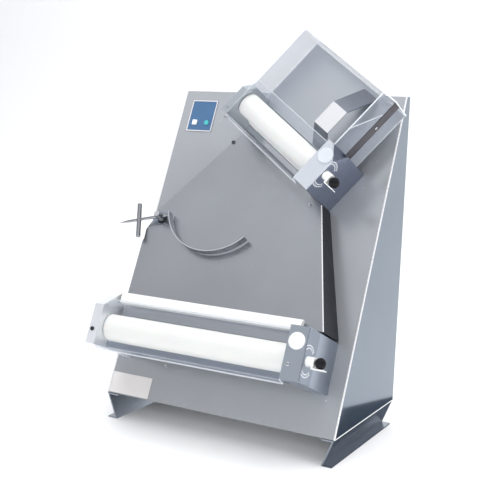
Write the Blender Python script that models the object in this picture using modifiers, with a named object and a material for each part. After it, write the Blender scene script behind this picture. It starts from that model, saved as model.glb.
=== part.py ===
"""Counter-top dough sheeter: a wedge-shaped stainless body, an inclined upper roller unit
with a feed hopper, a slide, a swinging dough arm and a level lower roller unit.

Three working frames are used, each an empty:
  machine  X to the right, Y to the back, Z up, zero at the body's front bottom edge
  panel    X to the right, Y up the sloping front panel, Z out of it
  upper    the panel frame turned in its own plane, X along the upper rollers
"""
import bpy
import bmesh
from math import atan2, cos, hypot, pi, radians, sin, sqrt
from mathutils import Vector

# ---- driving dimensions, in metres -------------------------------------------------------
GAP = 0.0003              # clearance between neighbouring pieces
SHEET = 0.0015            # stainless sheet
BODY_W = 0.510
BODY_H = 0.620
BASE_D = 0.293
TOP_SETBACK = 0.275       # how far the top front edge stands behind the bottom front edge
FOOT_H = 0.0520
FOOT_T = 0.003
UPPER_TURN = radians(34.8)

HEAD_WALL = 0.003
FRONT_PLATE_T = 0.003
GUARD_T = 0.0025
SHAFT_R = 0.006
AXLE_R = 0.005
GEAR_TEETH = 22
GEAR_W = 0.007
SPROCKET_R = 0.016
CHAIN_W = 0.005
ROLLER_GAP = 0.0015       # rollers closed
GAP_TRAVEL = 0.0035       # how far the front roller moves out
KNOB_R = 0.00925
KNOB_L = 0.0165
BALL_R = 0.0104
BALL_OUT = 0.0267         # ball centre from the head's end face
BALL_PULL = 0.004

SLIDE_S = 0.178           # the slide's plane passes this height up the panel ...
SLIDE_N = 0.0804          # ... at this distance out from it
SLIDE_TILT = radians(8.0)

MOTOR_Y, MOTOR_Z = 0.185, 0.150

# ---- derived sizes -----------------------------------------------------------------------
SLOPE = atan2(BODY_H, TOP_SETBACK)
PANEL_L = hypot(BODY_H, TOP_SETBACK)
INNER_W = BODY_W / 2 - SHEET - GAP

ALONG_X = (0, pi / 2, 0)            # turns a piece's own Z axis onto its frame's X
SECTION = (pi / 2, 0, pi / 2)       # own X, Y, Z become the frame's Y, Z, X
LENGTHWISE = (pi / 2, 0, 0)         # own X, Y become the frame's X, Z

for old in list(bpy.data.objects):
    bpy.data.objects.remove(old)

PARTS = bpy.data.collections.new("dough_sheeter")
CUTTERS = bpy.data.collections.new("cutters")
for group in (PARTS, CUTTERS):
    bpy.context.scene.collection.children.link(group)


# ---- materials ---------------------------------------------------------------------------
def material(name, colour, roughness, metallic=0.0, alpha=1.0):
    made = bpy.data.materials.new(name)
    made.use_nodes = True
    shader = made.node_tree.nodes["Principled BSDF"]
    shader.inputs["Base Color"].default_value = (*colour, 1.0)
    shader.inputs["Roughness"].default_value = roughness
    shader.inputs["Metallic"].default_value = metallic
    shader.inputs["Alpha"].default_value = alpha
    return made


STEEL = material("stainless_steel", (0.62, 0.63, 0.65), 0.3, 1.0)
BRIGHT = material("polished_steel", (0.75, 0.75, 0.76), 0.15, 1.0)
ALUMINIUM = material("aluminium", (0.7, 0.72, 0.74), 0.35, 1.0)
BLACK_STEEL = material("black_painted_steel", (0.02, 0.024, 0.03), 0.5)
CAST_IRON = material("cast_iron", (0.16, 0.17, 0.18), 0.6, 0.6)
CLEAR = material("clear_polycarbonate", (0.85, 0.9, 0.92), 0.05, 0.0, 0.35)
WHITE_PE = material("white_polyethylene", (0.93, 0.94, 0.91), 0.35)
BLACK_PLASTIC = material("black_plastic", (0.015, 0.015, 0.018), 0.3)
BLUE = material("blue_film", (0.09, 0.21, 0.42), 0.4)
TEAL = material("teal_plastic", (0.08, 0.5, 0.52), 0.35)
WHITE_FILM = material("white_film", (0.93, 0.93, 0.92), 0.5)
RUBBER = material("rubber", (0.03, 0.03, 0.03), 0.7)


# ---- frames and modelling helpers --------------------------------------------------------
def frame(name, parent=None, location=(0, 0, 0), rotation=(0, 0, 0)):
    empty = bpy.data.objects.new(name, None)
    empty.location = location
    empty.rotation_euler = rotation
    empty.parent = parent
    PARTS.objects.link(empty)
    return empty


MACHINE = frame("machine_frame", location=(0, 0, FOOT_H))
PANEL = frame("panel_frame", MACHINE, rotation=(SLOPE, 0, 0))
UPPER = frame("upper_frame", PANEL, rotation=(0, 0, -UPPER_TURN))
SLIDE = frame("slide_frame", PANEL, (0, SLIDE_S, SLIDE_N), (-SLIDE_TILT, 0, 0))


def place(name, mesh, parent, finish=None, location=(0, 0, 0), rotation=(0, 0, 0)):
    """Adds a piece; one without a finish is a cutter or a shape to be joined."""
    piece = bpy.data.objects.new(name, mesh)
    piece.parent = parent
    piece.location = location
    piece.rotation_euler = rotation
    if finish is None:
        CUTTERS.objects.link(piece)
        piece.hide_render = True
        piece.display_type = "WIRE"
    else:
        mesh.materials.append(finish)
        PARTS.objects.link(piece)
    return piece


def box_mesh(name, size, centre=(0, 0, 0)):
    mesh = bpy.data.meshes.new(name)
    shape = bmesh.new()
    bmesh.ops.create_cube(shape, size=1.0)
    bmesh.ops.scale(shape, vec=size, verts=shape.verts)
    bmesh.ops.translate(shape, vec=centre, verts=shape.verts)
    shape.to_mesh(mesh)
    shape.free()
    return mesh


def box(name, low, high, parent, finish=None):
    low, high = Vector(low), Vector(high)
    return place(name, box_mesh(name, high - low), parent, finish, (low + high) / 2)


def rod(name, radius, length, parent, finish=None, location=(0, 0, 0), rotation=(0, 0, 0),
        segments=24, tip=None):
    """A cylinder, or a cone with the given tip radius, from its location along its own Z."""
    mesh = bpy.data.meshes.new(name)
    shape = bmesh.new()
    bmesh.ops.create_cone(shape, cap_ends=True, segments=segments, radius1=radius,
                          radius2=radius if tip is None else tip, depth=length)
    bmesh.ops.translate(shape, vec=(0, 0, length / 2), verts=shape.verts)
    shape.to_mesh(mesh)
    shape.free()
    mesh.shade_smooth()
    mesh.set_sharp_from_angle(angle=radians(35))
    return place(name, mesh, parent, finish, location, rotation)


def turned(name, profile, parent, finish=None, location=(0, 0, 0), rotation=(0, 0, 0),
           segments=32, closed=False):
    """A turned piece; the profile of (radius, height) runs down its outer side."""
    mesh = bpy.data.meshes.new(name)
    edges = [(i, i + 1) for i in range(len(profile) - 1)]
    if closed:
        edges.append((len(profile) - 1, 0))
    mesh.from_pydata([(radius, 0, height) for radius, height in profile], edges, [])
    piece = place(name, mesh, parent, finish, location, rotation)
    screw = piece.modifiers.new("Turn", "SCREW")
    screw.axis = "Z"
    screw.steps = screw.render_steps = segments
    screw.use_merge_vertices = True
    screw.merge_threshold = 0.00001
    screw.use_smooth_shade = True
    return piece


def plate(name, loops, thickness, parent, finish=None, location=(0, 0, 0), rotation=(0, 0, 0)):
    """A flat outline (and its holes) in its own XY plane, with the given thickness."""
    curve = bpy.data.curves.new(name, "CURVE")
    curve.dimensions = "2D"
    curve.fill_mode = "BOTH"
    curve.extrude = thickness / 2
    for loop in loops:
        spline = curve.splines.new("POLY")
        spline.points.add(len(loop) - 1)
        for point, (x, y) in zip(spline.points, loop):
            point.co = (x, y, 0, 1)
        spline.use_cyclic_u = True
    return from_curve(name, curve, parent, finish, location, rotation)


def tube(name, path, radius, parent, finish=None, cyclic=False):
    """A round wire or belt along a path."""
    curve = bpy.data.curves.new(name, "CURVE")
    curve.dimensions = "3D"
    curve.bevel_depth = radius
    curve.bevel_resolution = 2
    curve.use_fill_caps = True
    spline = curve.splines.new("POLY")
    spline.points.add(len(path) - 1)
    for point, place_at in zip(spline.points, path):
        point.co = (*place_at, 1)
    spline.use_cyclic_u = cyclic
    return from_curve(name, curve, parent, finish)


def from_curve(name, curve, parent, finish, location=(0, 0, 0), rotation=(0, 0, 0)):
    holder = bpy.data.objects.new(name + "_curve", curve)
    bpy.context.scene.collection.objects.link(holder)
    depsgraph = bpy.context.evaluated_depsgraph_get()
    mesh = bpy.data.meshes.new_from_object(holder.evaluated_get(depsgraph))
    bpy.data.objects.remove(holder)
    bpy.data.curves.remove(curve)
    mesh.name = name
    shape = bmesh.new()
    shape.from_mesh(mesh)
    bmesh.ops.remove_doubles(shape, verts=shape.verts, dist=0.00001)
    bmesh.ops.recalc_face_normals(shape, faces=shape.faces)
    shape.to_mesh(mesh)
    shape.free()
    mesh.materials.clear()
    return place(name, mesh, parent, finish, location, rotation)


def combine(piece, *others, operation="DIFFERENCE"):
    for other in others:
        boolean = piece.modifiers.new(other.name, "BOOLEAN")
        boolean.operation = operation
        boolean.object = other
        boolean.solver = "EXACT"
    return piece


def join(piece, *others):
    return combine(piece, *others, operation="UNION")


def bent_sheet(points, thickness):
    """The closed outline of a sheet whose left-hand face follows the points."""
    offset = []
    for i, point in enumerate(points):
        here = Vector(point)
        normals = []
        for a, b in ((i - 1, i), (i, i + 1)):
            if a >= 0 and b < len(points):
                run = (Vector(points[b]) - Vector(points[a])).normalized()
                normals.append(Vector((run.y, -run.x)))
        mean = sum(normals, Vector((0, 0))).normalized()
        offset.append(here + mean * thickness / mean.dot(normals[0]))
    return [tuple(p) for p in points] + [tuple(p) for p in reversed(offset)]


def arc(centre, radius, start, end, steps):
    return [(centre[0] + radius * cos(start + (end - start) * i / steps),
             centre[1] + radius * sin(start + (end - start) * i / steps))
            for i in range(steps + 1)]


def gear_loop(pitch_r, teeth, phase):
    """A toothed outline: tooth number 0 is centred on the phase angle."""
    addendum = 0.72 * 2 * pitch_r / teeth
    dedendum = 1.1 * 2 * pitch_r / teeth
    step = 2 * pi / teeth
    loop = []
    for tooth in range(teeth):
        middle = phase + tooth * step
        for turn, radius in ((-0.27, -dedendum), (-0.13, addendum), (0.13, addendum), (0.27, -dedendum)):
            angle = middle + turn * step
            loop.append(((pitch_r + radius) * cos(angle), (pitch_r + radius) * sin(angle)))
    return loop


def ring_loops(centre_a, centre_b, radius, thickness):
    """Outer and inner outline of a belt round two equal wheels."""
    run = atan2(centre_b[1] - centre_a[1], centre_b[0] - centre_a[0])
    return [arc(centre_a, r, run + pi / 2, run + 3 * pi / 2, 12)
            + arc(centre_b, r, run - pi / 2, run + pi / 2, 12)
            for r in (radius + thickness, radius)]


# ---- body --------------------------------------------------------------------------------
def build_body():
    side = [(0, 0), (BASE_D, 0), (BASE_D, BODY_H), (TOP_SETBACK, BODY_H)]
    for name, x in (("side_panel_left", -1), ("side_panel_right", 1)):
        plate(name, [side], SHEET, MACHINE, STEEL, (x * (BODY_W - SHEET) / 2, 0, 0), SECTION)
    front = box("front_panel", (-INNER_W, 0.001, -SHEET), (INNER_W, PANEL_L, 0), PANEL, STEEL)
    combine(front,
            box("lower_drive_slot", (0.1980, 0.1165, -0.01), (0.2110, 0.1725, 0.01), PANEL),
            box("upper_drive_slot", (-0.1525, 0.4500, -0.01), (-0.1395, 0.4985, 0.01), UPPER))
    cap_front = TOP_SETBACK + SHEET / sin(SLOPE) + GAP
    box("top_cap", (-INNER_W, cap_front, BODY_H - SHEET),
        (INNER_W, BASE_D - SHEET - GAP, BODY_H), MACHINE, STEEL)
    rear = box("rear_cover", (-INNER_W, BASE_D - SHEET, SHEET + GAP),
               (INNER_W, BASE_D, BODY_H - GAP), MACHINE, STEEL)
    vent_w, vent_h = 0.060, 0.005
    for column in (-0.09, 0.09):
        for row in range(5):
            low = (column - vent_w / 2, BASE_D - 0.01, 0.12 + 0.016 * row)
            vent = box("rear_vent", low, (low[0] + vent_w, BASE_D + 0.01, low[2] + vent_h), MACHINE)
            combine(rear, vent)
    box("base_plate", (-INNER_W, 0.004, 0), (INNER_W, BASE_D - SHEET - GAP, SHEET), MACHINE, STEEL)
    return front


def build_feet():
    """Z-shaped rails: top flange under the body, web sloping in, bottom flange turned out."""
    outer = BODY_W / 2 - 0.001
    crease = BODY_W / 2 - 0.022
    section = [(outer - 0.026, -GAP), (outer, -GAP), (crease + 0.0015, -FOOT_H + FOOT_T),
               (outer - 0.002, -FOOT_H + FOOT_T), (outer - 0.002, -FOOT_H), (crease - FOOT_T, -FOOT_H),
               (outer - 0.004, -GAP - FOOT_T), (outer - 0.026, -GAP - FOOT_T)]
    for name, side in (("foot_rail_left", -1), ("foot_rail_right", 1)):
        plate(name, [[(side * x, z) for x, z in section]], BASE_D, MACHINE, STEEL,
              (0, BASE_D / 2, 0), LENGTHWISE)


def build_controls(front):
    low, high = (-0.2315, 0.584), (-0.1690, 0.656)
    label = box("control_label", (*low, GAP), (*high, GAP + 0.001), PANEL, BLUE)
    switch = box("switch_block", (-0.232, 0.590, -0.040), (-0.168, 0.618, -0.008), PANEL, BLACK_PLASTIC)
    hole_r = 0.0062
    for name, x, finish, segments in (("start_button", -0.2147, WHITE_FILM, 4),
                                      ("stop_button", -0.1845, TEAL, 24)):
        turn = (0, 0, pi / 4 if segments == 4 else 0)
        radius = 0.0055 * (sqrt(2) if segments == 4 else 1)
        hole = rod(name + "_hole", radius * (hole_r / 0.0055), 0.02, PANEL, None,
                   (x, 0.6042, -0.01), turn, segments)
        combine(front, hole)
        combine(label, hole)
        rod(name, radius, 0.0078, PANEL, finish, (x, 0.6042, -0.0050), turn, segments)
    box("info_label", (-0.2520, 0.003, GAP), (-0.1560, 0.045, GAP + 0.0005), PANEL, WHITE_FILM)
    return switch


# ---- roller units ------------------------------------------------------------------------
class Unit:
    """The places of one roller unit in its own frame: u along the rollers, v up, n out."""

    def __init__(self, name, parent, left, right, bottom, depth, left_w, right_w, right_top,
                 left_shoulder, left_top, left_top_n, roller_r, front_v, front_n, knob_v, knob_n):
        self.name, self.parent = name, parent
        self.left, self.right, self.bottom, self.depth = left, right, bottom, depth
        self.left_w, self.right_w, self.right_top = left_w, right_w, right_top
        self.left_shoulder, self.left_top, self.left_top_n = left_shoulder, left_top, left_top_n
        self.roller_r = roller_r
        self.front = Vector((front_v, front_n))
        self.spread = 2 * roller_r + ROLLER_GAP
        tilt = 0.08
        self.out = Vector((sin(tilt), cos(tilt)))
        self.rear = self.front - self.out * self.spread
        self.inner_left = left + left_w
        self.inner_right = right - right_w
        self.knob = Vector((knob_v, knob_n))


LOWER_UNIT = Unit("lower", PANEL, -0.2386, 0.2229, 0.0780, 0.1386, 0.0203, 0.0368, 0.1757,
                  0.1570, 0.1925, 0.0890, 0.0262, 0.1205, 0.0985, 0.1180, 0.1220)
UPPER_UNIT = Unit("upper", UPPER, -0.3971, -0.1261, 0.4370, 0.1218, 0.0140, 0.0385, 0.5336,
                  0.4980, 0.5147, 0.1002, 0.0240, 0.4800, 0.0886, 0.4815, 0.1085)


def left_section(unit, inset, back):
    return [(unit.bottom + inset, back), (unit.left_top - inset, back),
            (unit.left_top - inset, unit.left_top_n - inset / 2),
            (unit.left_shoulder - inset / 2, unit.depth - inset), (unit.bottom + inset, unit.depth - inset)]


def cut_corner(unit, depth):
    """Everything beyond the slanted face across the right head's upper front corner."""
    facing = Vector((0.0205, 0.0191, 0.0175)).normalized()
    cutter = box(unit.name + "_corner_cut", (-0.05, -0.05, 0), (0.05, 0.05, 0.05), unit.parent)
    on_face = Vector((unit.right - 0.009, unit.right_top - 0.010, unit.depth - 0.0105))
    cutter.location = on_face + facing * (0.025 - depth)
    cutter.rotation_euler = facing.to_track_quat("Z", "Y").to_euler()
    return cutter


def build_heads(unit):
    name, parent = unit.name, unit.parent
    casing_front = unit.depth - FRONT_PLATE_T
    right_head = box(name + "_right_head", (unit.inner_right, unit.bottom, GAP),
                     (unit.right, unit.right_top, casing_front - GAP), parent, STEEL)
    front_plate = box(name + "_front_plate", (unit.inner_right, unit.bottom, casing_front),
                      (unit.right, unit.right_top, unit.depth), parent, ALUMINIUM)
    cavity = box(name + "_right_cavity",
                 (unit.inner_right + HEAD_WALL, unit.bottom + HEAD_WALL, -0.01),
                 (unit.right - HEAD_WALL, unit.right_top - HEAD_WALL, unit.depth + 0.01), parent)
    width = unit.left_w
    left_head = plate(name + "_left_head", [left_section(unit, 0, GAP)], width, parent, ALUMINIUM,
                      (unit.left + width / 2, 0, 0), SECTION)
    left_cavity = plate(name + "_left_cavity", [left_section(unit, HEAD_WALL, -0.01)],
                        width - 2 * HEAD_WALL, parent, None, (unit.left + width / 2, 0, 0), SECTION)
    rear_hole = rod(name + "_rear_hole", SHAFT_R + 0.0008, unit.right - unit.left - 0.020, parent,
                    None, (unit.left + 0.006, *unit.rear), ALONG_X)
    travel = unit.front + unit.out * GAP_TRAVEL / 2
    front_hole = rod(name + "_front_hole", 0.0115, unit.right - unit.left - 0.020, parent,
                     None, (unit.left + 0.006, *travel), ALONG_X)
    knob_hole = rod(name + "_knob_hole", 0.0056, 0.02, parent, None,
                    (unit.right - 0.01, *unit.knob), ALONG_X)
    combine(right_head, cavity, rear_hole, front_hole, knob_hole)
    combine(left_head, left_cavity, rear_hole, front_hole)
    if parent is UPPER:
        corner, corner_inside = [cut_corner(unit, depth) for depth in (0, HEAD_WALL)]
        combine(cavity, corner_inside)
        combine(right_head, corner)
        combine(front_plate, corner)
    cap_at = (unit.right - 0.0185, unit.bottom + 0.0700, unit.depth + GAP)
    turned(name + "_sight_cap", [(0, 0.0035), (0.0145, 0.0035), (0.0156, 0.0024), (0.0156, 0), (0, 0)],
           parent, WHITE_PE, cap_at)


def build_rollers(unit):
    """The rear roller is pinned to its driven shaft; the front one runs on a carried axle."""
    name, parent = unit.name, unit.parent
    start = unit.inner_left + 0.0010
    length = unit.inner_right - 0.0010 - start
    edge = 0.002
    for place_name, axis, bore in (("rear", unit.rear, SHAFT_R + GAP), ("front", unit.front, AXLE_R + GAP)):
        r = unit.roller_r
        ring = [(bore, length), (r - edge, length), (r, length - edge), (r, edge), (r - edge, 0), (bore, 0)]
        turned(f"{name}_{place_name}_roller", ring, parent, WHITE_PE, (start, *axis), ALONG_X,
               closed=True)
    gear_u = unit.inner_right + HEAD_WALL + 0.002
    pitch = unit.spread / 2
    toward_front = atan2(unit.out.y, unit.out.x)
    shaft_start = unit.left + HEAD_WALL + 0.001
    sprocket_u = gear_u + GEAR_W + 0.004
    shaft = rod(name + "_rear_shaft", SHAFT_R, sprocket_u + CHAIN_W + 0.002 - shaft_start, parent, BRIGHT,
                (shaft_start, *unit.rear), ALONG_X)
    rear_gear = plate(name + "_rear_gear", [gear_loop(pitch, GEAR_TEETH, toward_front)], GEAR_W, parent,
                      None, (gear_u + GEAR_W / 2, *unit.rear), SECTION)
    sprocket = rod(name + "_rear_sprocket", SPROCKET_R - 0.0008, CHAIN_W, parent, None,
                   (sprocket_u, *unit.rear), ALONG_X)
    join(shaft, rear_gear, sprocket)
    half_tooth = pi / GEAR_TEETH
    front_gear = plate(name + "_front_gear", [gear_loop(pitch, GEAR_TEETH, toward_front + pi + half_tooth)],
                       GEAR_W, parent, STEEL, (gear_u + GEAR_W / 2, *unit.front), SECTION)
    hub_start = unit.inner_right - 0.0007
    hub = rod(name + "_front_gear_hub", 0.0085, gear_u + 0.001 - hub_start, parent, None,
              (hub_start, *unit.front), ALONG_X)
    bore = rod(name + "_front_gear_bore", AXLE_R + GAP, 0.03, parent, None,
               (hub_start - 0.005, *unit.front), ALONG_X)
    join(front_gear, hub)
    combine(front_gear, bore)
    axle_end = sprocket_u + 0.006
    axle = rod(name + "_front_axle", AXLE_R, axle_end - shaft_start, parent, BRIGHT,
               (shaft_start, *unit.front), ALONG_X)
    block_v, block_n, block_u = 0.010, 0.009, 0.005
    for label, low_u in (("left", shaft_start), ("right", axle_end - block_u)):
        join(axle, box(f"{name}_{label}_block", (low_u, unit.front.x - block_v, unit.front.y - block_n),
                       (low_u + block_u, unit.front.x + block_v, unit.front.y + block_n), parent))
    return sprocket_u


def build_gap_knob(unit):
    """White hub with a lever and cam, and the ball-ended plunger inside it."""
    name, parent = unit.name, unit.parent
    pin_r, bore = 0.0030, 0.0035
    wall_in = -HEAD_WALL - 0.001
    cam_t = 0.003
    profile = [(bore, KNOB_L), (KNOB_R, KNOB_L), (KNOB_R, 0.0006), (0.0050, 0.0006), (0.0050, wall_in),
               (0.0085, wall_in), (0.0085, wall_in - cam_t), (bore, wall_in - cam_t)]
    knob = turned(name + "_gap_knob", profile, parent, WHITE_PE, (unit.right, *unit.knob), ALONG_X,
                  segments=28, closed=True)
    near, far = 0.0125, BALL_OUT + BALL_R + 0.001
    under, low = -BALL_R - 0.0005, -BALL_R - 0.0021
    bend = [(near, -0.006), (near, low), (far, low), (far, under), (near + 0.0025, under),
            (near + 0.0025, -0.006)]
    join(knob, plate(name + "_knob_lever", [bend], 0.012, parent, None, (unit.right, *unit.knob)))
    ball = [(0, BALL_OUT + BALL_R)]
    ball += [(BALL_R * cos(t), BALL_OUT + BALL_R * sin(t)) for t in
             (radians(angle) for angle in (67.5, 45, 22.5, 0, -22.5, -45, -60))]
    neck = BALL_OUT + BALL_R * sin(radians(-60))
    ball += [(pin_r, neck), (pin_r, 0.001), (0, 0.001)]
    turned(name + "_knob_ball", ball, parent, BLACK_PLASTIC, (unit.right, *unit.knob), ALONG_X, segments=24)


def build_guard(unit):
    """Clear sheet over the front roller, folded under at the bottom and back at the top."""
    low = unit.bottom
    top = unit.left_shoulder if unit.name == "lower" else unit.right_top - 0.018
    back = (top + 0.0173, 0.1015) if unit.name == "lower" else (top + 0.012, unit.depth - 0.012)
    inner = [(low - 0.004, unit.depth - 0.022), (low, unit.depth - GUARD_T),
             (top, unit.depth - GUARD_T), back]
    width = unit.inner_right - unit.inner_left - 2 * GAP
    plate(unit.name + "_guard", [bent_sheet(inner[::-1], GUARD_T)], width, unit.parent, CLEAR,
          ((unit.inner_left + unit.inner_right) / 2, 0, 0), SECTION)


def build_scraper(unit):
    """Thin blade that keeps dough off the rear roller."""
    tip = unit.rear + Vector((-unit.roller_r - 0.0012, 0))
    low = unit.bottom + 0.004
    box(unit.name + "_scraper", (unit.inner_left + GAP, low, tip.y - 0.003),
        (unit.inner_right - GAP, tip.x, tip.y - 0.003 + SHEET), unit.parent, BRIGHT)


def build_unit(unit):
    build_heads(unit)
    build_gap_knob(unit)
    build_guard(unit)
    build_scraper(unit)
    return build_rollers(unit)


# ---- slide between the two units ---------------------------------------------------------
def upper_point(a, b):
    """A point of the upper frame in the panel frame."""
    return (a * cos(UPPER_TURN) + b * sin(UPPER_TURN), -a * sin(UPPER_TURN) + b * cos(UPPER_TURN))


def on_slide(x, s):
    """A point of the panel plane, carried straight out onto the slide's own plane."""
    return (x, (s - SLIDE_S) / cos(SLIDE_TILT))


def slide_height(s):
    return SLIDE_N - (s - SLIDE_S) * sin(SLIDE_TILT) / cos(SLIDE_TILT)


def build_slide():
    top_b = 0.4355
    lip_s, shoulder_s, inner_right = 0.1500, 0.1800, LOWER_UNIT.inner_right - 0.0006
    top_left, top_right = upper_point(-0.3890, top_b), upper_point(-0.1226, top_b)
    right_x = 0.2225
    notch = [(-0.2155, 0.3790), (-0.2165, 0.3600), (-0.2225, 0.3460), (-0.2215, 0.3260), (-0.2240, 0.3110)]
    corners = [top_left, *notch, (-0.2100, lip_s), (inner_right, lip_s), (inner_right, shoulder_s),
               (right_x, shoulder_s), top_right]
    plate("dough_slide", [[on_slide(*corner) for corner in corners]], SHEET, SLIDE, STEEL,
          (0, 0, -SHEET / 2))
    left_wall = [(-0.2140, 0.1985), (-0.2240, 0.3110), (-0.2270, 0.3400), (-0.2225, 0.3520), (-0.2150, 0.3600)]
    right_wall = [top_right, (right_x, shoulder_s)]
    for name, line in (("slide_wall_right", right_wall), ("slide_wall_left", left_wall)):
        wall = plate(name, [bent_sheet(line, SHEET)], SLIDE_N - GAP, PANEL, BLACK_STEEL,
                     (0, 0, (SLIDE_N + GAP) / 2))
        combine(wall, box(name + "_top_cut", (-0.3, -0.1, -2 * SHEET), (0.3, 0.6, 0.1), SLIDE))


# ---- hopper ------------------------------------------------------------------------------
def build_hopper():
    unit = UPPER_UNIT
    back_n, front_n, top_b = 0.0405, 0.1015, 0.6680
    wall = GUARD_T
    low_b = unit.front.x + unit.roller_r + 0.004
    left_b, right_b = unit.left_top + GAP, unit.right_top + GAP
    left, right, inner_right = unit.left, unit.right, unit.inner_right
    back = [(unit.inner_left + GAP, low_b), (inner_right - GAP, low_b), (inner_right - GAP, right_b),
            (right - SHEET - GAP, right_b), (right - SHEET - GAP, top_b - wall - GAP),
            (left + wall + GAP, top_b - wall - GAP), (left + wall + GAP, left_b),
            (unit.inner_left + GAP, left_b)]
    plate("hopper_back_plate", [back], SHEET, UPPER, STEEL, (0, 0, back_n - SHEET / 2))
    depth = front_n - back_n
    clear = [(right, top_b - wall), (left + wall, top_b - wall), (left + wall, left_b),
             (left, left_b), (left, top_b), (right, top_b)]
    plate("clear_hopper", [clear], depth, UPPER, CLEAR, (0, 0, back_n + depth / 2))
    box("hopper_side_plate", (right - SHEET, right_b, 0.080),
        (right, top_b - wall - GAP, front_n), UPPER, STEEL)
    box("hopper_divider", (inner_right, right_b, back_n + GAP),
        (inner_right + wall, top_b - wall - GAP, front_n), UPPER, CLEAR)
    rise, foot = 0.094, back_n + 0.004
    ridge = [(0.5090, foot), (0.5415, rise), (0.5945, rise), (0.6560, foot)]
    plate("feed_deflector", [bent_sheet(ridge, SHEET)], 0.040, UPPER, BRIGHT, (-0.2136, 0, 0), SECTION)


# ---- dough arm ---------------------------------------------------------------------------
def build_arm():
    """Curved catcher on a pivot at the slide's upper left corner, balanced by a cross weight."""
    pivot = on_slide(-0.1930, 0.3640)
    bracket_t = 0.0025
    corners = [(-0.2195, 0.3640), (-0.2045, 0.3500), (-0.1800, 0.3560), (-0.1850, 0.3790), (-0.2080, 0.3790)]
    bracket = plate("arm_bracket", [[on_slide(*corner) for corner in corners]], bracket_t, SLIDE, STEEL,
                    (0, 0, GAP + bracket_t / 2))
    combine(bracket, rod("bracket_hole", 0.0034, 0.02, SLIDE, None, (*pivot, -0.005)))
    hub_low, hub_high = 0.0045, 0.0240
    turned("arm_pivot_pin", [(0, 0.0280), (0.0060, 0.0280), (0.0060, 0.0245), (0.0030, 0.0245),
                             (0.0030, 0.0010), (0, 0.0010)], SLIDE, BRIGHT, (*pivot, 0), segments=20)
    centre, radius, blade = on_slide(-0.0668, 0.4070), 0.1095, 0.0018
    start, end = radians(197), radians(320)
    outline = arc(centre, radius + blade / 2, start, end, 30) + arc(centre, radius - blade / 2, end, start, 30)
    arm = plate("dough_arm", [outline], 0.016, SLIDE, ALUMINIUM, (0, 0, 0.0125))
    hub = rod("arm_hub", 0.0080, hub_high - hub_low, SLIDE, None, (*pivot, hub_low))
    rise = radians(15)
    direction = Vector((cos(rise), sin(rise)))
    rod_z, rod_r = 0.0145, 0.0030
    tail = Vector(pivot) - direction * 0.072
    join(arm, hub,
         rod("arm_rod", rod_r, 0.072 + 0.0245, SLIDE, None, (*tail, rod_z), (0, pi / 2, rise), 16),
         rod("arm_rod_tip", 0.0006, 0.022, SLIDE, None, (*(tail - direction * 0.0215), rod_z),
             (0, pi / 2, rise), 16, tip=rod_r))
    combine(arm, rod("arm_hub_bore", 0.0034, 0.04, SLIDE, None, (*pivot, -0.005)))
    middle = Vector(pivot) - direction * 0.0485
    lean = rise + radians(3.5)
    across = Vector((-sin(lean), cos(lean)))
    below, above = 0.0395, 0.0365
    weight = rod("arm_counterweight", 0.0047, below + above, SLIDE, BRIGHT,
                 (*(middle - across * below), rod_z), (-pi / 2, 0, lean), 20)
    combine(weight, rod("weight_bore", rod_r + GAP, 0.04, SLIDE, None,
                        (*(middle - direction * 0.02), rod_z), (0, pi / 2, rise), 16))


# ---- drive inside the body ---------------------------------------------------------------
def machine_point(v, n):
    """The (y, z) of a point of the panel frame."""
    return (v * cos(SLOPE) - n * sin(SLOPE), v * sin(SLOPE) + n * cos(SLOPE))


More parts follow.
